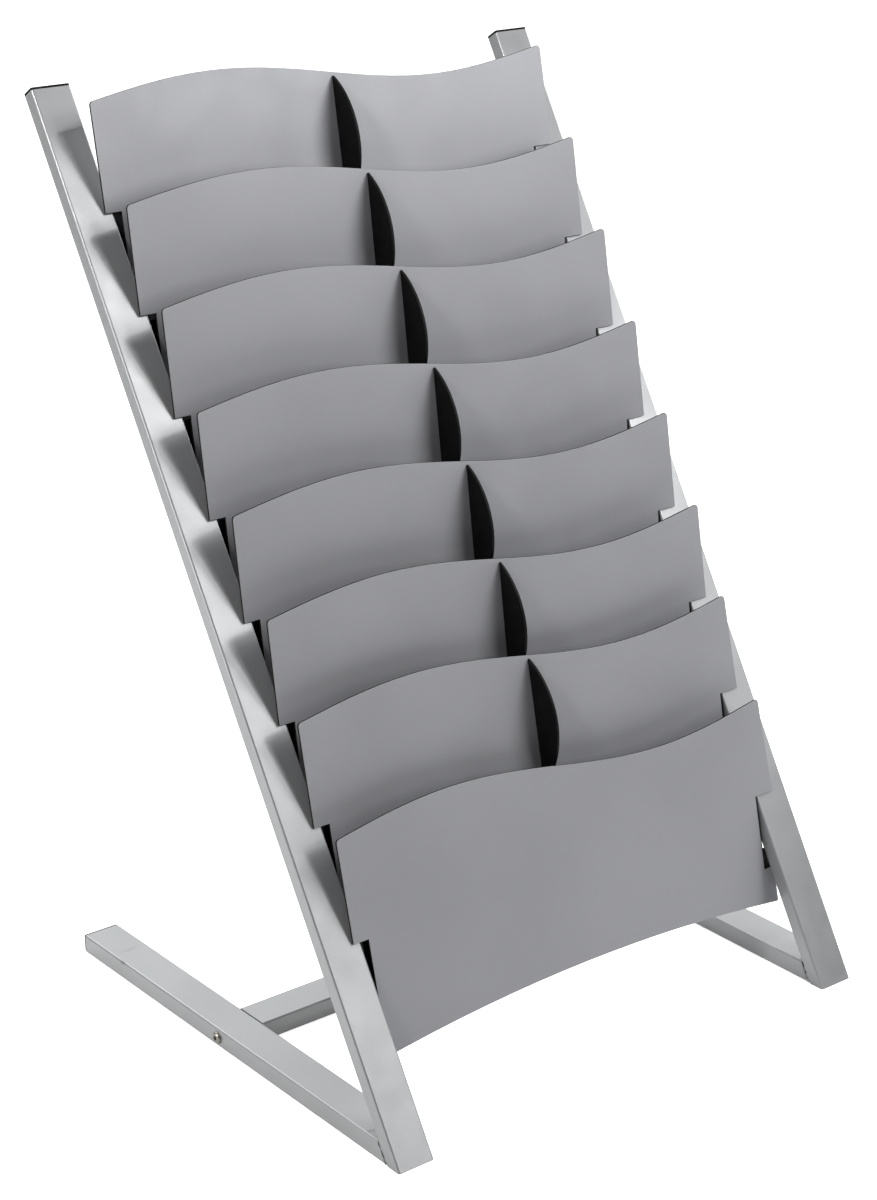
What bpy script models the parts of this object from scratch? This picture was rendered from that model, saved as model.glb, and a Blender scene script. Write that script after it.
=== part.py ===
"""Free-standing newspaper rack: two leaning uprights on feet carry eight wavy panels and seven pockets."""
import math

import bmesh
import bpy
from mathutils import Matrix, Vector

MM = 0.001
GAP = 0.3 * MM

# Welded side frames, all of rectangular steel tube
TUBE_WIDTH = 50 * MM
UPRIGHT_DEPTH = 20 * MM
FOOT_HEIGHT = 25 * MM
TUBE_WALL = 1.5 * MM
TUBE_CORNER = 2.5 * MM
UPRIGHT_LEAN = math.radians(30.4)
UPRIGHT_LENGTH = 1279 * MM
UPRIGHT_SPACING = 670 * MM
FOOT_REACH = 676 * MM
CROSSBAR_CENTRE = 364.5 * MM
WELD_SIDE = 1.2 * MM
WELD_TOP = 3 * MM
WELD_LENGTH = 4 * MM

# Plastic caps
CAP_FLANGE = 2.5 * MM
CAP_PLUG = 12 * MM
BOTTOM_PLUG = 14 * MM

# Crossbar bolts
BOLT_SHANK = 4 * MM
BOLT_HEAD = 7.5 * MM
BOLT_HEAD_HEIGHT = 4 * MM
NUT_LENGTH = 16 * MM

# Panels
PANEL_THICKNESS = 3 * MM
PANEL_WIDTH = 652 * MM
NECK_WIDTH = 610 * MM
RIGHT_NECK_TRIM = 3.7 * MM
LOWER_EAR = 13 * MM
EAR_HEIGHT = 122 * MM
RIGHT_EAR_FLARE = 5 * MM
WAVE = 18 * MM
NOTCH_HEIGHT = 96 * MM
SKIRT = 143 * MM
SKIRT_ARCH = 20 * MM
PANEL_CORNER = 4.5 * MM
PANEL_SHIFT = 4.2 * MM
PANEL_PITCH = 121.7 * MM
TOP_PANEL_HEIGHT = 1125.6 * MM
BOTTOM_PANEL_HEIGHT = 258 * MM
PANEL_LEANS = [math.radians(a) for a in (9.0, 7.0, 7.0, 7.0, 7.0, 7.5, 11.7, 13.3)]
PANELS = len(PANEL_LEANS)

# Pocket trays behind the panels
TRAY_WALL = 2 * MM
TRAY_FLOOR = 117 * MM
TRAY_LIP = 24 * MM
TRAY_BACK = 15 * MM
TRAY_SHOULDER = 26 * MM
TRAY_TAB_TOP = 70 * MM
TRAY_TAB_INSET = 2 * MM

# Angles that hold the top panel, which has no tray of its own
BRACKET_LEG = 26 * MM
BRACKET_DROP = 50 * MM
BRACKET_SHOULDER = 4 * MM
BRACKET_TOP = 2 * MM

# Pocket dividers
DIVIDER_X = 10 * MM
DIVIDER_THICKNESS = 4 * MM
DIVIDER_TOP = 117 * MM
DIVIDER_BULGE = 39 * MM
DIVIDER_BULGE_HEIGHT = 40 * MM
DIVIDER_STEM = 22 * MM
DIVIDER_TAB = 12 * MM

# Screws that fix the trays and the top brackets to the uprights
SCREW_SHANK = 2.5 * MM
SCREW_HEAD = 4.5 * MM
SCREW_HEAD_HEIGHT = 2.6 * MM
SCREW_LENGTH = 9 * MM
SCREW_DROP = 8 * MM
SCREW_DEPTH = 12 * MM

# The bounding box is centred front to back
FRONT_Y = -(FOOT_REACH + CAP_FLANGE) / 2
INNER_X = (UPRIGHT_SPACING - TUBE_WIDTH) / 2
OUTER_X = (UPRIGHT_SPACING + TUBE_WIDTH) / 2
SIDES = (("left", -1), ("right", 1))


# ---------------------------------------------------------------- frames of reference

def lean_matrix(angle, origin):
    """Local Z runs up along a board leaning back by angle, and local Y runs behind it."""
    return Matrix.Translation(origin) @ Matrix.Rotation(-angle, 4, "X")


def upright_frame(side):
    return lean_matrix(UPRIGHT_LEAN, Vector((side * UPRIGHT_SPACING / 2, FRONT_Y, 0)))


def panel_station(index):
    """Distance along the uprights from the floor to the bottom of a panel's ears."""
    if index == PANELS - 1:
        return BOTTOM_PANEL_HEIGHT
    return TOP_PANEL_HEIGHT - PANEL_PITCH * index


def panel_frame(index):
    """Frame of one panel: its front face is local y = 0 and the bottom of its ears is local z = 0."""
    lean = PANEL_LEANS[index]
    clearance = GAP + PANEL_THICKNESS * math.cos(UPRIGHT_LEAN - lean)
    uprights = lean_matrix(UPRIGHT_LEAN, Vector((0, FRONT_Y, 0)))
    return lean_matrix(lean, uprights @ Vector((0, -clearance, panel_station(index))))


# ---------------------------------------------------------------- materials

def material(name, colour, roughness, metallic=0.0):
    """A Principled material; the colour is given as 8-bit sRGB."""
    mat = bpy.data.materials.new(name)
    mat.use_nodes = True
    shader = mat.node_tree.nodes["Principled BSDF"]
    linear = [((c / 255 + 0.055) / 1.055) ** 2.4 if c > 10 else c / 255 / 12.92 for c in colour]
    shader.inputs["Base Color"].default_value = (*linear, 1)
    shader.inputs["Roughness"].default_value = roughness
    shader.inputs["Metallic"].default_value = metallic
    mat.diffuse_color = (*linear, 1)
    return mat


def make_materials():
    return {
        "silver_paint": material("silver_paint", (186, 187, 189), 0.42, 0.35),
        "panel_grey": material("panel_grey", (150, 150, 154), 0.5, 0.2),
        "black_plastic": material("black_plastic", (20, 20, 22), 0.45),
        "tray_black": material("tray_black", (28, 28, 30), 0.55),
        "zinc_steel": material("zinc_steel", (150, 148, 142), 0.35, 0.9),
        "weld_metal": material("weld_metal", (150, 150, 150), 0.55, 0.4),
    }


# ---------------------------------------------------------------- mesh helpers

def add_object(name, mesh, frame, mat):
    obj = bpy.data.objects.new(name, mesh)
    bpy.context.scene.collection.objects.link(obj)
    obj.matrix_world = frame
    if mat and not mesh.materials:
        mesh.materials.append(mat)
    return obj


def finish_mesh(bm, name, smooth=False):
    bmesh.ops.recalc_face_normals(bm, faces=bm.faces)
    mesh = bpy.data.meshes.new(name)
    bm.to_mesh(mesh)
    bm.free()
    if smooth:
        mesh.shade_smooth()
        mesh.set_sharp_from_angle(angle=math.radians(35))
    return mesh


def round_corners(points, radii, steps=4):
    """Replaces each corner of a closed 2-D outline that has a radius by an arc."""
    result = []
    for i, point in enumerate(points):
        radius = radii[i]
        corner = Vector(point)
        if radius <= 0:
            result.append(corner)
            continue
        before = (Vector(points[i - 1]) - corner).normalized()
        after = (Vector(points[(i + 1) % len(points)]) - corner).normalized()
        half = before.angle(after) / 2
        centre = corner + (before + after).normalized() * radius / math.sin(half)
        start = corner + before * radius / math.tan(half) - centre
        sweep = start.angle_signed(corner + after * radius / math.tan(half) - centre)
        for step in range(steps + 1):
            turn = Matrix.Rotation(-sweep * step / steps, 2)
            result.append(centre + turn @ start)
    return result


def rounded_rectangle(width, height, radius, steps=3):
    w = width / 2
    h = height / 2
    return round_corners([(-w, -h), (w, -h), (w, h), (-w, h)], [radius] * 4, steps)


def bridge(bm, first, second):
    count = len(first)
    for i in range(count):
        j = (i + 1) % count
        bm.faces.new((first[i], first[j], second[j], second[i]))


def prism(name, outline, to_start, to_end, smooth=False):
    """Solid between two copies of an outline; to_start and to_end place its 2-D points in space."""
    bm = bmesh.new()
    first = [bm.verts.new(to_start(p)) for p in outline]
    second = [bm.verts.new(to_end(p)) for p in outline]
    bridge(bm, first, second)
    bm.faces.new(first)
    bm.faces.new(second)
    return finish_mesh(bm, name, smooth)


def tube(name, width, depth, to_start, to_end):
    """Open-ended rectangular tube with rounded edges; its two ends may be mitred."""
    outer = rounded_rectangle(width, depth, TUBE_CORNER)
    inner = rounded_rectangle(width - 2 * TUBE_WALL, depth - 2 * TUBE_WALL, TUBE_CORNER - TUBE_WALL)
    bm = bmesh.new()
    loops = []
    for outline in (outer, inner):
        loops.append([bm.verts.new(to_start(p)) for p in outline])
        loops.append([bm.verts.new(to_end(p)) for p in outline])
    outer_start, outer_end, inner_start, inner_end = loops
    bridge(bm, outer_start, outer_end)
    bridge(bm, inner_start, inner_end)
    bridge(bm, outer_start, inner_start)
    bridge(bm, outer_end, inner_end)
    return finish_mesh(bm, name, smooth=True)


def box_mesh(name, low, high):
    outline = [(low[0], low[1]), (high[0], low[1]), (high[0], high[1]), (low[0], high[1])]
    return prism(name, outline, lambda p: (p[0], p[1], low[2]), lambda p: (p[0], p[1], high[2]))


def cylinder_mesh(name, radius, start_x, end_x, segments=24):
    """Round bar along X."""
    outline = [
        (radius * math.cos(math.tau * i / segments), radius * math.sin(math.tau * i / segments))
        for i in range(segments)
    ]
    return prism(
        name, outline, lambda p: (start_x, p[0], p[1]), lambda p: (end_x, p[0], p[1]), smooth=True)


def stepped_plug(name, flange, plug, base, thickness, plug_length, place):
    """One solid made of a flange and the plug below it, both with the same number of outline points."""
    bm = bmesh.new()
    top = [bm.verts.new(place(p, base + thickness)) for p in flange]
    rim = [bm.verts.new(place(p, base)) for p in flange]
    neck = [bm.verts.new(place(p, base)) for p in plug]
    end = [bm.verts.new(place(p, base + plug_length)) for p in plug]
    bridge(bm, top, rim)
    bridge(bm, rim, neck)
    bridge(bm, neck, end)
    bm.faces.new(top)
    bm.faces.new(end)
    return finish_mesh(bm, name, smooth=True)


def boolean(target, mesh, frame, operation):
    """Cuts a helper solid out of target, or joins it on, and hides the helper."""
    helper = add_object(f"cut_{target.name}_{len(target.modifiers)}", mesh, frame, None)
    helper.hide_render = True
    helper.display_type = "WIRE"
    modifier = target.modifiers.new(operation.title(), "BOOLEAN")
    modifier.object = helper
    modifier.operation = operation
    modifier.solver = "EXACT"


# ---------------------------------------------------------------- side frames

def build_upright(name, side, mats):
    """Leaning tube whose bottom end is cut to stand flat on the floor."""
    half = UPRIGHT_DEPTH / 2
    mesh = tube(
        name, TUBE_WIDTH, UPRIGHT_DEPTH,
        lambda p: (p[0], p[1] + half, (p[1] + half) * math.tan(UPRIGHT_LEAN)),
        lambda p: (p[0], p[1] + half, UPRIGHT_LENGTH),
    )
    upright = add_object(f"{name}_upright", mesh, upright_frame(side), mats["silver_paint"])
    for index in range(PANELS):
        hole = cylinder_mesh("screw_hole", SCREW_SHANK + GAP, -side * TUBE_WIDTH, -side * TUBE_WIDTH / 4, 12)
        centre = Vector((0, SCREW_DEPTH, panel_station(index) - SCREW_DROP))
        boolean(upright, hole, upright_frame(side) @ Matrix.Translation(centre), "DIFFERENCE")


def build_upright_cap(name, side, mats):
    """Thin plastic cap pressed into the open top of the upright."""
    half = UPRIGHT_DEPTH / 2
    flange = rounded_rectangle(TUBE_WIDTH, UPRIGHT_DEPTH, TUBE_CORNER)
    plug = rounded_rectangle(
        TUBE_WIDTH - 2 * TUBE_WALL - 2 * GAP, UPRIGHT_DEPTH - 2 * TUBE_WALL - 2 * GAP, TUBE_WALL / 2)
    base = UPRIGHT_LENGTH + GAP
    mesh = stepped_plug(
        "top_cap", flange, plug, base, CAP_FLANGE, -CAP_PLUG, lambda p, z: (p[0], p[1] + half, z))
    add_object(f"{name}_upright_top_cap", mesh, upright_frame(side), mats["black_plastic"])


def build_bottom_plug(name, side, mats):
    """Plastic plug inside the foot of the upright, flush with the floor cut."""
    half = UPRIGHT_DEPTH / 2
    outline = rounded_rectangle(
        TUBE_WIDTH - 2 * TUBE_WALL - 2 * GAP, UPRIGHT_DEPTH - 2 * TUBE_WALL - 2 * GAP, TUBE_WALL / 2)
    lift = 0.5 * MM
    mesh = prism(
        "bottom_plug", outline,
        lambda p: (p[0], p[1] + half, (p[1] + half) * math.tan(UPRIGHT_LEAN) + lift),
        lambda p: (p[0], p[1] + half, (p[1] + half) * math.tan(UPRIGHT_LEAN) + BOTTOM_PLUG),
    )
    add_object(f"{name}_upright_bottom_plug", mesh, upright_frame(side), mats["black_plastic"])


def foot_front(height):
    """Distance behind the front edge where the foot meets the upright's rear face, at a height."""
    return height * math.tan(UPRIGHT_LEAN) + (UPRIGHT_DEPTH + GAP) / math.cos(UPRIGHT_LEAN)


def build_foot(name, side, mats):
    """Floor tube, mitred against the upright and drilled for the crossbar bolt."""
    half = FOOT_HEIGHT / 2
    mesh = tube(
        name, TUBE_WIDTH, FOOT_HEIGHT,
        lambda p: (p[0], foot_front(p[1] + half), p[1] + half),
        lambda p: (p[0], FOOT_REACH, p[1] + half),
    )
    frame = Matrix.Translation((side * UPRIGHT_SPACING / 2, FRONT_Y, 0))
    foot = add_object(f"{name}_foot", mesh, frame, mats["silver_paint"])
    hole = cylinder_mesh("bolt_hole", BOLT_SHANK + GAP, -TUBE_WIDTH, TUBE_WIDTH, 16)
    boolean(foot, hole, frame @ Matrix.Translation((0, CROSSBAR_CENTRE, half)), "DIFFERENCE")


def build_foot_cap(name, side, mats):
    half = FOOT_HEIGHT / 2
    flange = rounded_rectangle(TUBE_WIDTH, FOOT_HEIGHT, TUBE_CORNER)
    plug = rounded_rectangle(
        TUBE_WIDTH - 2 * TUBE_WALL - 2 * GAP, FOOT_HEIGHT - 2 * TUBE_WALL - 2 * GAP, TUBE_WALL / 2)
    mesh = stepped_plug(
        "foot_cap", flange, plug, FOOT_REACH + GAP, CAP_FLANGE - GAP, -CAP_PLUG,
        lambda p, y: (p[0], y, p[1] + half))
    frame = Matrix.Translation((side * UPRIGHT_SPACING / 2, FRONT_Y, 0))
    add_object(f"{name}_foot_rear_cap", mesh, frame, mats["black_plastic"])


def build_weld(name, side, mats):
    """Weld collar around the foot's mitre: over the top and down both sides, open at the floor."""
    inner = TUBE_WIDTH / 2 + GAP
    outer = TUBE_WIDTH / 2 + WELD_SIDE
    low = 2 * GAP
    corners = [
        (-outer, low), (-inner, low), (-inner, FOOT_HEIGHT + GAP), (inner, FOOT_HEIGHT + GAP),
        (inner, low), (outer, low), (outer, FOOT_HEIGHT + WELD_TOP), (-outer, FOOT_HEIGHT + WELD_TOP),
    ]
    outline = round_corners(corners, [0, 0, 0, 0, 0, 0, WELD_TOP, WELD_TOP])
    mesh = prism(
        "weld", outline,
        lambda p: (p[0], foot_front(p[1]), p[1]),
        lambda p: (p[0], foot_front(p[1]) + WELD_LENGTH, p[1]),
    )
    frame = Matrix.Translation((side * UPRIGHT_SPACING / 2, FRONT_Y, 0))
    add_object(f"{name}_foot_weld", mesh, frame, mats["weld_metal"])


def crossbar_frame(x=0.0):
    return Matrix.Translation((x, FRONT_Y + CROSSBAR_CENTRE, FOOT_HEIGHT / 2))


def build_crossbar(mats):
    """Flat tube between the feet, its top level with theirs."""
    end = INNER_X - GAP
    mesh = tube(
        "crossbar", TUBE_WIDTH, FOOT_HEIGHT, lambda p: (-end, p[0], p[1]), lambda p: (end, p[0], p[1]))
    add_object("crossbar", mesh, crossbar_frame(), mats["silver_paint"])


def build_crossbar_joint(name, side, mats):
    """Threaded block inside one end of the crossbar and the bolt that reaches it through the foot."""
    width = TUBE_WIDTH - 2 * TUBE_WALL - 2 * GAP
    height = FOOT_HEIGHT - 2 * TUBE_WALL - 2 * GAP
    outline = rounded_rectangle(width, height, TUBE_WALL / 2)
    end = side * (INNER_X - GAP)
    deep = end - side * NUT_LENGTH
    mesh = prism("end_nut", outline, lambda p: (deep, p[0], p[1]), lambda p: (end, p[0], p[1]))
    nut = add_object(f"{name}_crossbar_end_nut", mesh, crossbar_frame(), mats["zinc_steel"])
    bore = cylinder_mesh("thread", BOLT_SHANK + GAP, deep - side * MM, end + side * MM, 16)
    boolean(nut, bore, crossbar_frame(), "DIFFERENCE")
    bolt = button_bolt(
        f"{name}_crossbar_bolt", BOLT_SHANK, TUBE_WIDTH + NUT_LENGTH - 2 * MM, BOLT_HEAD, BOLT_HEAD_HEIGHT)
    frame = crossbar_frame(side * (OUTER_X + GAP)) @ Matrix.Rotation(0 if side > 0 else math.pi, 4, "Z")
    add_object(f"{name}_crossbar_bolt", bolt, frame, mats["zinc_steel"])


def button_bolt(name, shank, length, head, head_height, segments=16):
    """Domed head on a plain shank, turned about X; the head sits at positive X and has a round socket."""
    socket = head * 0.42
    profile = [
        (-length, 0), (-length, shank), (0, shank), (0, head), (head_height * 0.35, head),
        (head_height * 0.8, head * 0.78), (head_height, head * 0.5), (head_height, socket),
        (head_height * 0.4, socket), (head_height * 0.4, 0),
    ]
    bm = bmesh.new()
    rings = []
    for x, radius in profile:
        if radius == 0:
            rings.append([bm.verts.new((x, 0, 0))])
            continue
        angles = [math.tau * i / segments for i in range(segments)]
        rings.append([bm.verts.new((x, radius * math.cos(a), radius * math.sin(a))) for a in angles])
    for first, second in zip(rings[:-1], rings[1:]):
        if len(first) == 1 or len(second) == 1:
            tip, ring = (first[0], second) if len(first) == 1 else (second[0], first)
            for i in range(segments):
                bm.faces.new((tip, ring[i], ring[(i + 1) % segments]))
        else:
            bridge(bm, first, second)
    return finish_mesh(bm, name, smooth=True)


# ---------------------------------------------------------------- panels

def panel_outline():
    """Front view of a panel: wavy top edge, ears, necks between the uprights, and an arched skirt."""
    half = PANEL_WIDTH / 2
    neck = NECK_WIDTH / 2
    low = neck + LOWER_EAR
    arch_radius = (low * low + SKIRT_ARCH * SKIRT_ARCH) / (2 * SKIRT_ARCH)
    points = []
    radii = []

    def add(x, z, radius=0.0):
        points.append((x, z))
        radii.append(radius)

    arch_steps = 16
    for i in range(arch_steps + 1):
        x = -low + 2 * low * i / arch_steps
        rise = math.sqrt(arch_radius ** 2 - x ** 2) - (arch_radius - SKIRT_ARCH)
        add(x, -SKIRT + rise, PANEL_CORNER / 2 if i in (0, arch_steps) else 0)
    add(low, -NOTCH_HEIGHT, PANEL_CORNER)
    add(neck - RIGHT_NECK_TRIM, -NOTCH_HEIGHT)
    add(neck - RIGHT_NECK_TRIM, 0)
    add(half + RIGHT_EAR_FLARE, 0)
    wave_steps = 28
    for i in range(wave_steps + 1):
        x = half - 2 * half * i / wave_steps
        z = EAR_HEIGHT - WAVE * math.sin(math.pi * x / half)
        add(x, z, PANEL_CORNER if i in (0, wave_steps) else 0)
    add(-half, 0)
    add(-neck, 0)
    add(-neck, -NOTCH_HEIGHT)
    add(-low, -NOTCH_HEIGHT, PANEL_CORNER)
    return round_corners(points, radii)


def build_panels(mats):
    """Eight alike panels; the uprights pass through the notches between upper and lower ears."""
    outline = panel_outline()
    mesh = prism(
        "panel", outline, lambda p: (p[0], 0, p[1]), lambda p: (p[0], PANEL_THICKNESS, p[1]))
    for index in range(PANELS):
        frame = panel_frame(index) @ Matrix.Translation((PANEL_SHIFT, 0, 0))
        add_object(f"panel_{index + 1}", mesh, frame, mats["panel_grey"])


# ---------------------------------------------------------------- pockets

def pocket_depth(index, z):
    """Free depth of a pocket: from its front panel's front face to its back panel's, at height z."""
    to_front = panel_frame(index + 1).inverted() @ panel_frame(index)
    origin = to_front.to_translation()
    up = (to_front.to_3x3() @ Vector((0, 0, 1))).normalized()
    return origin.y + up.y * (z - origin.z) / up.z


def tray_rear(index):
    """Rear face of a tray, just ahead of the back panel's skirt."""
    return min(pocket_depth(index, -TRAY_BACK), pocket_depth(index, -TRAY_FLOOR)) - 2 * GAP


def screw_point(index, side):
    """Where a fixing screw enters the inner face of an upright, in world space."""
    along = panel_station(index) - SCREW_DROP
    local = Vector((-side * TUBE_WIDTH / 2, SCREW_DEPTH, along))
    return upright_frame(side) @ local


def build_tray(index, mats):
    """Pocket tray: floor, front lip, rear wall, cheeks at the uprights and tabs behind the ears."""
    frame = panel_frame(index + 1)
    front = PANEL_THICKNESS + GAP
    rear = tray_rear(index)
    width = INNER_X - GAP
    side_view = [
        (front, -TRAY_FLOOR), (rear, -TRAY_FLOOR), (rear, -TRAY_BACK),
        (TRAY_SHOULDER, 2 * MM), (front, 2 * MM),
    ]
    outer = prism("tray", side_view, lambda p: (-width, p[0], p[1]), lambda p: (width, p[0], p[1]))
    tray = add_object(f"pocket_tray_{index + 1}", outer, frame, mats["tray_black"])
    floor = -TRAY_FLOOR + TRAY_WALL
    lip = -TRAY_FLOOR + TRAY_LIP
    above = 20 * MM
    ahead = front - MM
    hollow = [
        (front + TRAY_WALL, floor), (rear - TRAY_WALL, floor), (rear - TRAY_WALL, above),
        (ahead, above), (ahead, lip), (front + TRAY_WALL, lip),
    ]
    inside = width - TRAY_WALL
    cut = prism("hollow", hollow, lambda p: (-inside, p[0], p[1]), lambda p: (inside, p[0], p[1]))
    boolean(tray, cut, frame, "DIFFERENCE")
    for _, side in SIDES:
        near = side * (width - TRAY_WALL / 2)
        far = side * (NECK_WIDTH / 2 + LOWER_EAR - TRAY_TAB_INSET) + PANEL_SHIFT
        tab = box_mesh(
            "tab", (min(near, far), front, -TRAY_FLOOR), (max(near, far), front + TRAY_WALL, -TRAY_TAB_TOP))
        boolean(tray, tab, frame, "UNION")
        hole = cylinder_mesh("screw_hole", SCREW_SHANK + GAP, -4 * MM, 4 * MM, 12)
        boolean(tray, hole, Matrix.Translation(screw_point(index + 1, side)), "DIFFERENCE")
    slot_low, slot_high = divider_tab(index, GAP)
    slot = box_mesh(
        "slot",
        (DIVIDER_X - DIVIDER_THICKNESS / 2 - GAP, slot_low, floor - 2 * TRAY_WALL),
        (DIVIDER_X + DIVIDER_THICKNESS / 2 + GAP, slot_high, floor + TRAY_WALL))
    boolean(tray, slot, frame, "DIFFERENCE")


def divider_tab(index, play):
    """Front and rear of the divider's tab, measured behind the pocket's front panel."""
    centre = tray_rear(index) - TRAY_WALL - GAP - DIVIDER_STEM / 2
    return centre - DIVIDER_TAB / 2 - play, centre + DIVIDER_TAB / 2 + play


def build_divider(index, mats):
    """Crescent blade against the back panel, with a stem whose tab drops into the tray's floor."""
    back = panel_frame(index)
    front = panel_frame(index + 1)
    to_front = front.inverted() @ back
    half_chord = DIVIDER_TOP - DIVIDER_BULGE_HEIGHT
    radius = (half_chord ** 2 + DIVIDER_BULGE ** 2) / (2 * DIVIDER_BULGE)
    reach = math.asin(half_chord / radius)
    stem_angle = -math.acos(1 - (DIVIDER_BULGE - DIVIDER_STEM) / radius)
    arc_steps = 18
    blade = []
    for i in range(arc_steps + 1):
        angle = reach + (stem_angle - reach) * i / arc_steps
        forward = DIVIDER_BULGE - radius * (1 - math.cos(angle))
        height = DIVIDER_BULGE_HEIGHT + radius * math.sin(angle)
        point = to_front @ Vector((0, -forward - GAP, height))
        blade.append((point.y, point.z))
    floor = -TRAY_FLOOR + TRAY_WALL + GAP
    stem_rear = tray_rear(index) - TRAY_WALL - GAP
    tab_front, tab_rear = divider_tab(index, 0)
    step = to_front @ Vector((0, -GAP, -SKIRT + SKIRT_ARCH + TRAY_WALL))
    stem = [
        (stem_rear - DIVIDER_STEM, floor), (tab_front, floor), (tab_front, floor - 2 * TRAY_WALL),
        (tab_rear, floor - 2 * TRAY_WALL), (tab_rear, floor), (stem_rear, floor),
        (stem_rear, step.z), (step.y, step.z),
    ]
    left = DIVIDER_X - DIVIDER_THICKNESS / 2
    right = DIVIDER_X + DIVIDER_THICKNESS / 2
    mesh = prism(
        "divider", blade + stem, lambda p: (left, p[0], p[1]), lambda p: (right, p[0], p[1]))
    add_object(f"divider_{index + 1}", mesh, front, mats["black_plastic"])


# ---------------------------------------------------------------- fixings

def build_top_bracket(name, side, mats):
    """Angle behind the top panel, which has no tray of its own: one leg on the upright, one on the panel."""
    frame = panel_frame(0)
    face = side * (INNER_X - GAP)
    web = face - side * TRAY_WALL
    leg = face - side * BRACKET_LEG
    front = PANEL_THICKNESS + GAP
    side_view = [
        (front, -BRACKET_DROP), (front + TRAY_WALL, -BRACKET_DROP), (BRACKET_LEG, -BRACKET_SHOULDER),
        (BRACKET_LEG, BRACKET_TOP), (front, BRACKET_TOP),
    ]
    mesh = prism("bracket", side_view, lambda p: (web, p[0], p[1]), lambda p: (face, p[0], p[1]))
    bracket = add_object(f"{name}_top_panel_bracket", mesh, frame, mats["tray_black"])
    flange = box_mesh(
        "flange", (min(leg, web + side * MM), front, -BRACKET_DROP),
        (max(leg, web + side * MM), front + TRAY_WALL, BRACKET_TOP))
    boolean(bracket, flange, frame, "UNION")
    hole = cylinder_mesh("screw_hole", SCREW_SHANK + GAP, -4 * MM, 4 * MM, 12)
    boolean(bracket, hole, Matrix.Translation(screw_point(0, side)), "DIFFERENCE")


def build_screws(name, side, mats):
    """One screw at each tier, driven outwards from inside the pocket into the upright's inner wall."""
    mesh = button_bolt("tray_screw", SCREW_SHANK, SCREW_LENGTH, SCREW_HEAD, SCREW_HEAD_HEIGHT, 12)
    turn = Matrix.Rotation(math.pi if side > 0 else 0, 4, "Z")
    inwards = Vector((-side * (TRAY_WALL + 2 * GAP), 0, 0))
    for index in range(PANELS):
        place = "top_bracket" if index == 0 else f"tray_{index}"
        frame = Matrix.Translation(screw_point(index, side) + inwards) @ turn
        add_object(f"{name}_{place}_screw", mesh, frame, mats["zinc_steel"])


def main():
    for obj in list(bpy.data.objects):
        bpy.data.objects.remove(obj, do_unlink=True)
    mats = make_materials()
    for name, side in SIDES:
        build_upright(name, side, mats)
        build_upright_cap(name, side, mats)
        build_bottom_plug(name, side, mats)
        build_foot(name, side, mats)
        build_foot_cap(name, side, mats)
        build_weld(name, side, mats)
        build_crossbar_joint(name, side, mats)
        build_top_bracket(name, side, mats)
        build_screws(name, side, mats)
    build_crossbar(mats)
    build_panels(mats)
    for index in range(PANELS - 1):
        build_tray(index, mats)
        build_divider(index, mats)


main()
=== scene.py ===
import math

import bmesh
import bpy
from mathutils import Matrix, Vector, noise


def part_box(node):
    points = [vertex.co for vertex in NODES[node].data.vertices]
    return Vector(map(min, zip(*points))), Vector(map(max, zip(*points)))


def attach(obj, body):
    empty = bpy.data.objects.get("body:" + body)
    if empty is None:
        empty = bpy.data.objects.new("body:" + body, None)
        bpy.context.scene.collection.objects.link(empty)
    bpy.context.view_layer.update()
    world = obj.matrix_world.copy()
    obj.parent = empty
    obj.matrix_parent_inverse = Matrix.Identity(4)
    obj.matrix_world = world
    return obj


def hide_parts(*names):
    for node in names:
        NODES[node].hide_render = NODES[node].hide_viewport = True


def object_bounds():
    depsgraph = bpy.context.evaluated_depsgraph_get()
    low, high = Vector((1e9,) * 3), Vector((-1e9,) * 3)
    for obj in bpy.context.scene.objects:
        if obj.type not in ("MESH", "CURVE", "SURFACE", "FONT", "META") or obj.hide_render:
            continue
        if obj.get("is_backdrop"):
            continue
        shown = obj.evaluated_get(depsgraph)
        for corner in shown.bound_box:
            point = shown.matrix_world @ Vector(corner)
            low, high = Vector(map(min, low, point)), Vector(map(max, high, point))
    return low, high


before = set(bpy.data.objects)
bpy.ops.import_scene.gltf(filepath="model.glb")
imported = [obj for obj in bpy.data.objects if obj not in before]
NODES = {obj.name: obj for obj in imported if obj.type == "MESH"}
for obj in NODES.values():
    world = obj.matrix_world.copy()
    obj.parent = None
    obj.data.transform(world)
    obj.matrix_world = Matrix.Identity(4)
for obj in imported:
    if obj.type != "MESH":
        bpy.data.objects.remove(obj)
CAD_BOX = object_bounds()

MM = 0.001
PANELS = 8
SIDES = (("left", -1), ("right", 1))

# Repeated from the CAD: the foot's mitre and the bolts
LEAN = math.radians(30.4)
UPRIGHT_DEPTH = 20 * MM
TUBE_WIDTH = 50 * MM
TUBE_CORNER = 2.5 * MM
UPRIGHT_SPACING = 670 * MM
FOOT_HEIGHT = 25 * MM
BOLT = dict(shank=4 * MM, length=64 * MM, head=7.5 * MM, height=4 * MM)
SCREW = dict(shank=2.5 * MM, length=9 * MM, head=4.5 * MM, height=2.6 * MM)

# How far the bolts' hexagon sockets are turned, in radians
SOCKET_TURN = 0.35

# Broken edges
PANEL_EDGE = 0.4 * MM
CAP_EDGE = 0.5 * MM
PLUG_EDGE = 0.4 * MM
TRAY_EDGE = 0.5 * MM
BRACKET_EDGE = 0.4 * MM
DIVIDER_EDGE = 0.9 * MM

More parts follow.
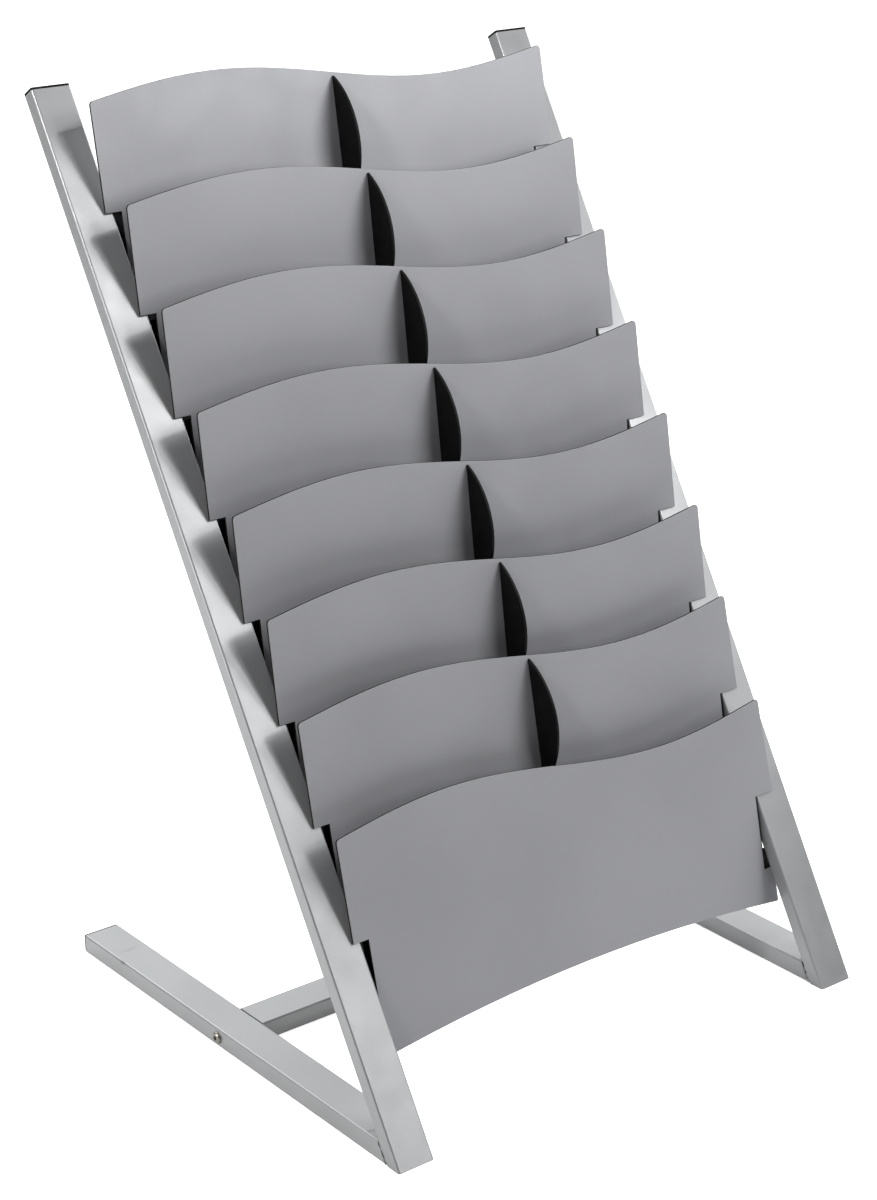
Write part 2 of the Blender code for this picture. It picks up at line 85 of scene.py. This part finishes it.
# Weld beads on the foot's sides, and how much wider and higher they are on its top
BEAD_HALF_WIDTH = 2.8 * MM
BEAD_HEIGHT = 0.7 * MM
TOP_EXTRA_WIDTH = 1.6 * MM
TOP_EXTRA_HEIGHT = 1.9 * MM
BEAD_FLOOR_GAP = 1.7 * MM
BEAD_SINK = 0.15 * MM
BEAD_ROOT = 0.9 * MM
RIPPLE_PITCH = 2.1 * MM
CRACK_HALF_WIDTH = 0.55
CRACK_DEPTH = 0.9 * MM

# Camera: its place in metres, and its lens and film in millimetres
CAMERA_PLACE = (-1.7729, -2.2479, 1.5509)
CAMERA_YAW = math.radians(37.70)
CAMERA_PITCH = math.radians(24.40)
CAMERA_ROLL = math.radians(-0.73)
FOCAL_LENGTH = 75.54
FILM_WIDTH = 36
SHIFT_UP = 0.1557

# Surroundings: the floor's size in metres, and how bright the camera and the rack see them
FLOOR_RADIUS = 40
FLOOR_DROP = 0.2 * MM
FLOOR_GLOW = 0.75
WORLD_FILL = 0.08


# ---------------------------------------------------------------- node helpers

def new_material(name, roughness, metallic, specular):
    """A material and its shader, with the given constants."""
    mat = bpy.data.materials.new(name)
    mat.use_nodes = True
    shader = mat.node_tree.nodes["Principled BSDF"]
    shader.inputs["Roughness"].default_value = roughness
    shader.inputs["Metallic"].default_value = metallic
    shader.inputs["Specular IOR Level"].default_value = specular
    return mat, shader


def node(mat, kind, inputs, **settings):
    """Adds a shader node; each input is a value or the socket that feeds it."""
    made = mat.node_tree.nodes.new(kind)
    for key, value in settings.items():
        setattr(made, key, value)
    for socket, value in inputs.items():
        if isinstance(value, bpy.types.NodeSocket):
            mat.node_tree.links.new(value, made.inputs[socket])
        else:
            made.inputs[socket].default_value = value
    return made


def link(mat, source, shader, socket):
    """Feeds a shader's socket from another node's output."""
    mat.node_tree.links.new(source, shader.inputs[socket])


def place(mat, stretch=(1, 1, 1)):
    """Position on the object in metres, stretched along its axes."""
    coordinates = node(mat, "ShaderNodeTexCoord", {})
    mapping = node(mat, "ShaderNodeMapping", {"Vector": coordinates.outputs["Object"], "Scale": stretch})
    return mapping.outputs["Vector"]


def grain(mat, size, detail=2.0, roughness=0.5, stretch=(1, 1, 1)):
    """Noise from 0 to 1 whose features are about size metres across."""
    texture = node(mat, "ShaderNodeTexNoise", {
        "Vector": place(mat, stretch), "Scale": 1 / size, "Detail": detail, "Roughness": roughness})
    return texture.outputs["Fac"]


def scaled(mat, value, low, high, start=0.3, end=0.7):
    """Maps start..end onto low..high."""
    ranged = node(mat, "ShaderNodeMapRange", {
        "Value": value, "From Min": start, "From Max": end, "To Min": low, "To Max": high})
    return ranged.outputs["Result"]


def mixed(mat, factor, first, second, blend_type="MIX"):
    """Blends two colours or colour sockets."""
    made = mat.node_tree.nodes.new("ShaderNodeMix")
    made.data_type = "RGBA"
    made.blend_type = blend_type
    for index, value in ((0, factor), (6, first), (7, second)):
        if isinstance(value, bpy.types.NodeSocket):
            mat.node_tree.links.new(value, made.inputs[index])
        elif index == 0:
            made.inputs[0].default_value = value
        else:
            made.inputs[index].default_value = (*value, 1)
    return made.outputs[2]


def bump(mat, height, depth, normal=None):
    """Relief of the given depth in metres."""
    inputs = {"Height": height, "Distance": depth, "Strength": 1.0}
    if normal:
        inputs["Normal"] = normal
    return node(mat, "ShaderNodeBump", inputs).outputs["Normal"]


# ---------------------------------------------------------------- materials

def spot(mat, centre, reach, ragged=0.9):
    """1 inside a ragged ellipsoid round a point on the object, and 0 outside it."""
    coordinates = node(mat, "ShaderNodeTexCoord", {})
    offset = node(
        mat, "ShaderNodeVectorMath", {0: coordinates.outputs["Object"], 1: centre}, operation="SUBTRACT")
    unit = node(
        mat, "ShaderNodeVectorMath", {0: offset.outputs["Vector"], 1: reach}, operation="DIVIDE")
    length = node(mat, "ShaderNodeVectorMath", {0: unit.outputs["Vector"]}, operation="LENGTH")
    edge = scaled(mat, grain(mat, 0.0025, 3, 0.6), -ragged, ragged)
    distance = node(
        mat, "ShaderNodeMath", {0: length.outputs["Value"], 1: edge}, operation="ADD")
    return scaled(mat, distance.outputs["Value"], 1, 0, 0.7, 1.1)


def silver_paint(name="silver_powder_coat", marks=()):
    """Powder coat: silver with a fine flake, orange peel and a few small marks."""
    mat, shader = new_material(name, 0.4, 0.4, 0.5)
    shader.inputs["Coat Weight"].default_value = 0.8
    shader.inputs["Coat Roughness"].default_value = 0.13
    cloudy = scaled(mat, grain(mat, 0.12, 3), 0, 1)
    base = mixed(mat, cloudy, (0.315, 0.321, 0.330), (0.348, 0.355, 0.364))
    flake = scaled(mat, grain(mat, 0.0006, 2, 0.8), 0.90, 1.06)
    tone = mixed(mat, 1.0, base, flake, "MULTIPLY")
    specks = scaled(mat, grain(mat, 0.011, 5, 0.7), 0, 0.55, 0.70, 0.76)
    tone = mixed(mat, specks, tone, (0.22, 0.22, 0.215))
    normal = bump(mat, grain(mat, 0.0016, 2, 0.6), 0.02 * MM)
    for centre, reach, strength in marks:
        inside = spot(mat, centre, reach)
        tone = mixed(mat, scaled(mat, inside, 0, strength, 0, 1), tone, (0.10, 0.095, 0.09))
        normal = bump(mat, scaled(mat, inside, 0, -strength, 0, 1), 0.4 * MM, normal)
    link(mat, tone, shader, "Base Color")
    link(mat, scaled(mat, grain(mat, 0.03, 4), 0.32, 0.42), shader, "Roughness")
    link(mat, normal, shader, "Normal")
    return mat


def left_foot_paint():
    """The left foot's paint: chipped on both upper edges, smudged at the rear, spattered at the weld."""
    outer, front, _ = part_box("left_foot")[0]
    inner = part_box("left_foot")[1].x
    front -= UPRIGHT_DEPTH / math.cos(LEAN)
    middle = (outer + inner) / 2
    chip = (Vector((outer, front + 584 * MM, 24 * MM)), (2.5 * MM, 6 * MM, 3 * MM), 0.55)
    nick = (Vector((inner, front + 575 * MM, FOOT_HEIGHT)), (3 * MM, 3 * MM, 2 * MM), 0.6)
    smudge = (Vector((middle, front + 606 * MM, FOOT_HEIGHT)), (14 * MM, 4 * MM, 2 * MM), 0.16)
    spatter = (Vector((outer + 8 * MM, front + 60 * MM, FOOT_HEIGHT)), (5 * MM, 4 * MM, 2 * MM), 0.35)
    return silver_paint("silver_powder_coat_worn", (chip, nick, smudge, spatter))


def panel_grey():
    """Satin metallic lacquer on flat sheet, with a fine even grain."""
    mat, shader = new_material("panel_satin_grey", 0.45, 0.25, 0.4)
    cloudy = scaled(mat, grain(mat, 0.2, 3), 0, 1)
    base = mixed(mat, cloudy, (0.312, 0.314, 0.334), (0.341, 0.344, 0.366))
    flake = scaled(mat, grain(mat, 0.0007, 3, 0.8), 0.92, 1.05)
    link(mat, mixed(mat, 1.0, base, flake, "MULTIPLY"), shader, "Base Color")
    link(mat, scaled(mat, grain(mat, 0.05, 5), 0.42, 0.52), shader, "Roughness")
    link(mat, bump(mat, grain(mat, 0.0009, 2, 0.6), 0.008 * MM), shader, "Normal")
    return mat


def panel_core_and_edge_shade():
    """Dark cut edge of the sheet, with fine saw marks across it; on the outer faces of the broken edges the
    same dark is painted shade, a thin dark line round each panel's outline.
    """
    mat, shader = new_material("panel_dark_core_and_edge_shade", 0.85, 0.0, 0.05)
    marks = grain(mat, 0.0008, 3, 0.7, (1, 1, 0.2))
    tone = mixed(mat, scaled(mat, marks, 0, 1), (0.010, 0.009, 0.009), (0.026, 0.023, 0.022))
    link(mat, tone, shader, "Base Color")
    link(mat, scaled(mat, marks, 0.75, 0.95), shader, "Roughness")
    link(mat, bump(mat, marks, 0.03 * MM), shader, "Normal")
    return mat


def moulded_black(name, dark, light, roughness, specular):
    """Moulded plastic with a fine spark-eroded texture and faint rub marks."""
    mat, shader = new_material(name, roughness, 0.0, specular)
    rubbed = scaled(mat, grain(mat, 0.02, 5, 0.65), 0, 1, 0.45, 0.8)
    link(mat, mixed(mat, rubbed, dark, light), shader, "Base Color")
    link(mat, scaled(mat, grain(mat, 0.008, 4), roughness - 0.06, roughness + 0.08), shader, "Roughness")
    link(mat, bump(mat, grain(mat, 0.0007, 3, 0.7), 0.02 * MM), shader, "Normal")
    return mat


def zinc_steel():
    """Bright zinc plate, slightly yellow, with turning marks."""
    mat, shader = new_material("zinc_plated_steel", 0.3, 1.0, 0.5)
    cloudy = scaled(mat, grain(mat, 0.003, 4, 0.7), 0, 1)
    link(mat, mixed(mat, cloudy, (0.24, 0.225, 0.20), (0.46, 0.44, 0.40)), shader, "Base Color")
    link(mat, scaled(mat, grain(mat, 0.0006, 3), 0.25, 0.42), shader, "Roughness")
    link(mat, bump(mat, grain(mat, 0.0005, 2, 0.6, (0.3, 1, 1)), 0.01 * MM), shader, "Normal")
    return mat


def weld_paint():
    """The frame's paint over a weld, cracked open along the seam and dark inside the cracks."""
    mat, shader = new_material("painted_weld", 0.45, 0.3, 0.5)
    cloudy = scaled(mat, grain(mat, 0.004, 4, 0.7), 0, 1)
    tone = mixed(mat, cloudy, (0.27, 0.276, 0.285), (0.35, 0.357, 0.367))
    crack = node(mat, "ShaderNodeAttribute", {}, attribute_name="crack").outputs["Fac"]
    link(mat, mixed(mat, crack, tone, (0.02, 0.017, 0.015)), shader, "Base Color")
    link(mat, scaled(mat, crack, 0.45, 0.85, 0, 1), shader, "Roughness")
    link(mat, bump(mat, grain(mat, 0.0012, 3, 0.6), 0.06 * MM), shader, "Normal")
    return mat


def floor_material():
    """Matt white, which the camera sees as faintly luminous so that it stays pale out to its edge."""
    mat, shader = new_material("pale_floor", 0.7, 0.0, 0.2)
    shader.inputs["Emission Color"].default_value = (1, 1, 1, 1)
    seen = node(mat, "ShaderNodeLightPath", {}).outputs["Is Camera Ray"]
    link(mat, scaled(mat, seen, 0, FLOOR_GLOW, 0, 1), shader, "Emission Strength")
    link(mat, mixed(mat, grain(mat, 1.5, 3), (0.86, 0.86, 0.86), (0.90, 0.90, 0.90)), shader, "Base Color")
    link(mat, scaled(mat, grain(mat, 0.4, 3), 0.65, 0.8), shader, "Roughness")
    return mat


# ---------------------------------------------------------------- mesh helpers

def add_piece(replaced, mesh):
    """Puts a finished mesh on the rack in place of the CAD node that it stands for."""
    piece = bpy.data.objects.new(f"{replaced}_visual", mesh)
    bpy.context.scene.collection.objects.link(piece)
    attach(piece, "root")
    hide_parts(replaced)
    return piece


def close_mesh(bm, name, materials, smooth_angle=40):
    """Turns a bmesh into a smooth-shaded mesh whose sharper edges stay crisp."""
    mesh = bpy.data.meshes.new(name)
    bmesh.ops.recalc_face_normals(bm, faces=bm.faces)
    bm.to_mesh(mesh)
    bm.free()
    for mat in materials:
        mesh.materials.append(mat)
    mesh.shade_smooth()
    mesh.set_sharp_from_angle(angle=math.radians(smooth_angle))
    return mesh


def cad_bmesh(name):
    """The CAD node's solid with its flat faces whole again."""
    bm = bmesh.new()
    bm.from_mesh(NODES[name].data)
    bmesh.ops.remove_doubles(bm, verts=bm.verts, dist=0.01 * MM)
    bmesh.ops.dissolve_limit(bm, angle_limit=math.radians(0.3), verts=bm.verts, edges=bm.edges)
    return bm


def bevel_sharp(bm, width, segments, angle=50):
    """Breaks every edge that turns by more than the angle in degrees."""
    sharp = [e for e in bm.edges if e.is_manifold and e.calc_face_angle() > math.radians(angle)]
    bmesh.ops.bevel(
        bm, geom=sharp, offset=width, offset_type="OFFSET", segments=segments, profile=0.5,
        affect="EDGES", clamp_overlap=True)


def soften(piece):
    """Keeps large faces flat where they meet their rounded edges."""
    modifier = piece.modifiers.new("Weighted", "WEIGHTED_NORMAL")
    modifier.keep_sharp = True
    modifier.weight = 80


def refine(name, mat, bevel=0.0, segments=2):
    """A CAD solid with its edges broken, its curves shaded smooth and a finished surface."""
    bm = cad_bmesh(name)
    if bevel:
        bevel_sharp(bm, bevel, segments)
    soften(add_piece(name, close_mesh(bm, name, [mat])))


# ---------------------------------------------------------------- panels

def build_panel(index, skin, core_and_edge_shade):
    """Flat sheet with a dark inner layer between two skins, its edges just broken; the outer faces of the
    broken edges take the dark too, as a painted shade line round the outline.
    """
    name = f"panel_{index}"
    bm = cad_bmesh(name)
    across = max(bm.faces, key=lambda f: f.calc_area()).normal.copy()
    bevel_sharp(bm, PANEL_EDGE, 2)
    bm.normal_update()
    # Faces within about 26 degrees of the skins stay grey; the rest, the outer half of each broken edge
    # included, take the dark material, which paints a shade line along the outline.
    for face in bm.faces:
        on_skin = abs(face.normal.dot(across)) >= 0.9
        face.material_index = 0 if on_skin else 1
    soften(add_piece(name, close_mesh(bm, name, [skin, core_and_edge_shade])))


# ---------------------------------------------------------------- bolts and screws

def hexagon(angle, inner_radius):
    """Distance from the centre to the side of a hexagon."""
    sixth = math.pi / 3
    return inner_radius / math.cos((angle + sixth / 2) % sixth - sixth / 2)


def bolt_mesh(name, mat, shank, length, head, height, steps=36):
    """Button head with a hexagon socket on a plain shank, along X with its head at positive X."""
    socket = head * 0.36
    socket_floor = height * 0.35
    socket_point = height * 0.22
    chamfer = shank * 0.3
    rim = height * 0.3
    profile = [(-length, shank - chamfer), (-length + chamfer, shank), (0, shank)]
    profile += [(0, head * 0.96), (rim * 0.3, head)]
    for angle in (0, 18, 36, 54, 70):
        up = math.sin(math.radians(angle))
        out = math.cos(math.radians(angle))
        profile.append((rim + (height - rim) * up, head * (0.55 + 0.45 * out)))
    bm = bmesh.new()
    turns = [math.tau * i / steps for i in range(steps)]
    rings = []
    for x, radius in profile:
        rings.append([bm.verts.new((x, radius * math.cos(a), radius * math.sin(a))) for a in turns])
    for x, grow in ((height, 1.12), (height * 0.93, 1.0), (socket_floor, 1.0)):
        radii = [hexagon(a, socket) * grow for a in turns]
        rings.append([bm.verts.new((x, r * math.cos(a), r * math.sin(a))) for a, r in zip(turns, radii)])
    for first, second in zip(rings[:-1], rings[1:]):
        for i in range(steps):
            j = (i + 1) % steps
            bm.faces.new((first[i], first[j], second[j], second[i]))
    tip = bm.verts.new((socket_point, 0, 0))
    for i in range(steps):
        bm.faces.new((rings[-1][i], rings[-1][(i + 1) % steps], tip))
    bm.faces.new(rings[0])
    return close_mesh(bm, name, [mat], 35)


def place_bolt(cad_name, mat, size, head_side):
    """Stands for a CAD bolt or screw, whose head points to head_side along X."""
    low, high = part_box(cad_name)
    mesh = bolt_mesh(cad_name, mat, **size)
    tip = high.x if head_side > 0 else low.x
    seat = tip - head_side * size["height"]
    centre = Vector((seat, (low.y + high.y) / 2, (low.z + high.z) / 2))
    turn = Matrix.Rotation(0 if head_side > 0 else math.pi, 4, "Z")
    mesh.transform(Matrix.Translation(centre) @ turn @ Matrix.Rotation(SOCKET_TURN, 4, "X"))
    add_piece(cad_name, mesh)


# ---------------------------------------------------------------- welds

def mitre(height):
    """Distance behind the rack's front edge of the seam between foot and upright, at a height."""
    return height * math.tan(LEAN) + UPRIGHT_DEPTH / math.cos(LEAN)


def weld_path(steps):
    """Points round the foot's sides and top, each with its outward direction in the X-Z plane."""
    half = TUBE_WIDTH / 2
    radius = TUBE_CORNER
    low = BEAD_FLOOR_GAP
    side = FOOT_HEIGHT - radius - low
    arc = radius * math.pi / 2
    top = 2 * (half - radius)
    total = 2 * (side + arc) + top
    for i in range(steps + 1):
        s = total * i / steps
        mirrored = s > total / 2
        along = min(s, total - s)
        if along < side:
            point = Vector((-half, low + along))
            out = Vector((-1, 0))
        elif along < side + arc:
            angle = (along - side) / radius
            out = Vector((-math.cos(angle), math.sin(angle)))
            point = Vector((-half + radius, FOOT_HEIGHT - radius)) + out * radius
        else:
            point = Vector((-half + radius + along - side - arc, FOOT_HEIGHT))
            out = Vector((0, 1))
        if mirrored:
            point.x = -point.x
            out.x = -out.x
        yield s, point, out


def weld_noise(seed, s, size, across=0.0, layer=0.0):
    """Smooth noise along the seam, with features about size metres long."""
    return noise.noise(seed + Vector((s / size, across, layer)))


def weld_row(bm, crack_layer, origin, seed, s, point, out, across_steps=18):
    """One section of the bead: an arch over the seam, closed below it, with the crack pressed in."""
    on_top = max(out.y, 0) ** 2
    half_width = BEAD_HALF_WIDTH + TOP_EXTRA_WIDTH * on_top
    height = BEAD_HEIGHT + TOP_EXTRA_HEIGHT * on_top
    along = Vector((0, math.cos(LEAN), -math.sin(LEAN))).lerp(Vector((0, 1, 0)), on_top)
    outward = Vector((out.x, 0, out.y))
    centre = origin + Vector((point.x, mitre(point.y), point.y))
    wander = 0.6 * weld_noise(seed, s, 7 * MM) + 0.3 * weld_noise(seed, s, 2 * MM, 3)
    cracked = on_top < 0.5 and weld_noise(seed, s, 8 * MM, 9) > -0.45
    ripple = 0.10 * math.sin(math.tau * s / RIPPLE_PITCH) + 0.25 * weld_noise(seed, s, 3 * MM, 5, 2)
    row = []
    for j in range(across_steps + 1):
        t = -1 + 2 * j / across_steps
        lump = weld_noise(seed, s, 2 * MM, t * 1.5, 8)
        rise = height * math.sqrt(max(0, 1 - t * t)) * (1 + ripple + 0.2 * lump) - BEAD_SINK
        crack = max(0.0, 1 - abs(t - wander) / CRACK_HALF_WIDTH) if cracked else 0.0
        rise -= CRACK_DEPTH * crack
        vert = bm.verts.new(centre + along * half_width * (t + 0.1 * lump) + outward * rise)
        vert[crack_layer] = min(1.0, 2.2 * crack)
        row.append(vert)
    for t in (1, -1):
        row.append(bm.verts.new(centre + along * half_width * 0.9 * t - outward * BEAD_ROOT))
    return row


def build_weld(side_name, side, mat):
    """Rippled bead round the foot's mitre: a fillet on top, and nearly flush and cracked down the sides."""
    bm = bmesh.new()
    crack_layer = bm.verts.layers.float.new("crack")
    origin = Vector((side * UPRIGHT_SPACING / 2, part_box(f"{side_name}_upright")[0].y, 0))
    seed = Vector((side * 7.3, 1.7, 4.1))
    rows = [weld_row(bm, crack_layer, origin, seed, s, point, out) for s, point, out in weld_path(220)]
    count = len(rows[0])
    for first, second in zip(rows[:-1], rows[1:]):
        for j in range(count):
            k = (j + 1) % count
            bm.faces.new((first[j], first[k], second[k], second[j]))
    bm.faces.new(rows[0])
    bm.faces.new(rows[-1])
    name = f"{side_name}_foot_weld"
    add_piece(name, close_mesh(bm, name, [mat], 60))


# ---------------------------------------------------------------- camera, light and floor

def make_camera():
    """Looks at the rack from its front left and above."""
    ahead = Vector((math.sin(CAMERA_YAW), math.cos(CAMERA_YAW), 0))
    forward = ahead * math.cos(CAMERA_PITCH) - Vector((0, 0, math.sin(CAMERA_PITCH)))
    level = Vector((math.cos(CAMERA_YAW), -math.sin(CAMERA_YAW), 0))
    above = level.cross(forward)
    right = level * math.cos(CAMERA_ROLL) + above * math.sin(CAMERA_ROLL)
    up = above * math.cos(CAMERA_ROLL) - level * math.sin(CAMERA_ROLL)
    data = bpy.data.cameras.new("camera")
    data.sensor_width = FILM_WIDTH
    data.lens = FOCAL_LENGTH
    data.shift_y = SHIFT_UP
    camera = bpy.data.objects.new("camera", data)
    bpy.context.scene.collection.objects.link(camera)
    turn = Matrix((right, up, -forward)).transposed().to_4x4()
    camera.matrix_world = Matrix.Translation(CAMERA_PLACE) @ turn
    bpy.context.scene.camera = camera


def area_light(name, place_at, look_at, size, power, colour=(1, 1, 1)):
    """Square soft box, which lights the rack but isn't seen itself."""
    data = bpy.data.lights.new(name, "AREA")
    data.size = size
    data.energy = power
    data.color = colour
    light = bpy.data.objects.new(name, data)
    light.visible_camera = False
    bpy.context.scene.collection.objects.link(light)
    light.location = place_at
    aim = Vector(look_at) - Vector(place_at)
    light.rotation_euler = aim.to_track_quat("-Z", "Y").to_euler()


def make_world():
    """White beyond the floor's edge, and a little light from all round."""
    world = bpy.data.worlds.new("studio")
    world.use_nodes = True
    background = world.node_tree.nodes["Background"]
    background.inputs["Color"].default_value = (1, 1, 1, 1)
    seen = node(world, "ShaderNodeLightPath", {}).outputs["Is Camera Ray"]
    link(world, scaled(world, seen, WORLD_FILL, 1, 0, 1), background, "Strength")
    bpy.context.scene.world = world


def make_light():
    """Soft boxes at the front right and both sides, one high at the left, and a wide bank behind."""
    middle = (0, 0.1, 0.7)
    area_light("key", (1.2, -2.5, 2.2), middle, 0.8, 8.5)
    area_light("key_low", (1.2, -2.6, 1.2), (0, 0.1, 0.6), 0.8, 8)
    area_light("key_side", (2.0, -2.0, 1.6), middle, 0.8, 4)
    area_light("top_front", (0.6, -0.9, 2.0), (0, 0.5, 1.0), 0.6, 6)
    area_light("top_right", (1.2, -1.2, 1.7), (0, 0.4, 0.9), 0.6, 13)
    area_light("left_high", (-2.0, -0.5, 2.3), (-0.3, 0.1, 0.7), 0.4, 29, (1.0, 0.985, 0.96))
    area_light("left_rear", (-2.8, 0.7, 0.9), (0, 0.1, 0.4), 1.2, 33)
    area_light("right", (2.6, 0.2, 1.6), (0, 0.1, 0.6), 1.4, 44)
    area_light("rear_high", (0, 2.4, 2.4), (0, 0.3, 0.6), 1.6, 28)
    area_light("bank", (3.5, 5.5, 4.5), (3.5, 5.501, 0), 10, 400, (0.985, 1.0, 1.0))


def make_floor(mat):
    """A round floor so wide that its edge is far off, just below the feet."""
    bm = bmesh.new()
    bmesh.ops.create_circle(bm, cap_ends=True, radius=FLOOR_RADIUS, segments=96)
    mesh = bpy.data.meshes.new("floor")
    bm.to_mesh(mesh)
    bm.free()
    mesh.materials.append(mat)
    floor = bpy.data.objects.new("floor", mesh)
    floor.location.z = -FLOOR_DROP
    bpy.context.scene.collection.objects.link(floor)
    floor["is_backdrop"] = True


# ---------------------------------------------------------------- the rack

def build_frames(paint, foot_paint, plastic, steel, weld):
    """Uprights, feet, caps, welds and crossbar; the two feet may differ in paint."""
    for name, side in SIDES:
        refine(f"{name}_upright", paint)
        refine(f"{name}_foot", foot_paint[name])
        refine(f"{name}_upright_top_cap", plastic, CAP_EDGE, 3)
        refine(f"{name}_foot_rear_cap", plastic, CAP_EDGE, 3)
        refine(f"{name}_upright_bottom_plug", plastic, PLUG_EDGE)
        refine(f"{name}_crossbar_end_nut", steel)
        build_weld(name, side, weld)
        place_bolt(f"{name}_crossbar_bolt", steel, BOLT, side)
    refine("crossbar", paint)


def build_pockets(tray_and_shade_black, plastic, steel):
    """Trays with their dividers, and the screws that fix them."""
    for index in range(1, PANELS):
        refine(f"pocket_tray_{index}", tray_and_shade_black, TRAY_EDGE)
        refine(f"divider_{index}", plastic, DIVIDER_EDGE, 3)
    for name, side in SIDES:
        # The top brackets take the same near-black, painted shade in the gap beside the top panel.
        refine(f"{name}_top_panel_bracket", tray_and_shade_black, BRACKET_EDGE)
        place_bolt(f"{name}_top_bracket_screw", steel, SCREW, -side)
        for index in range(1, PANELS):
            place_bolt(f"{name}_tray_{index}_screw", steel, SCREW, -side)


def write_size():
    """Works out the CAD's box and the finished rack's box, and discards them."""
    boxes = {"cad": CAD_BOX, "visual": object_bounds()}
    {key: [list(corner) for corner in box] for key, box in boxes.items()}


bpy.context.scene.view_settings.view_transform = "Standard"
paint = silver_paint()
plastic = moulded_black("black_moulding", (0.003, 0.003, 0.0034), (0.007, 0.007, 0.0076), 0.5, 0.12)
# Moulded trays and top brackets in near-black: painted shade, the deep dark seen in the pockets and in the
# gaps between the panels and the uprights.
tray_and_shade_black = moulded_black("tray_moulding_painted_shade", (0.008, 0.008, 0.009), (0.015, 0.015, 0.016), 0.6, 0.25)
steel = zinc_steel()
foot_paint = {"left": left_foot_paint(), "right": paint}
build_frames(paint, foot_paint, plastic, steel, weld_paint())
build_pockets(tray_and_shade_black, plastic, steel)
skin = panel_grey()
core_and_edge_shade = panel_core_and_edge_shade()
for number in range(1, PANELS + 1):
    build_panel(number, skin, core_and_edge_shade)
make_floor(floor_material())
make_world()
make_light()
make_camera()
write_size()
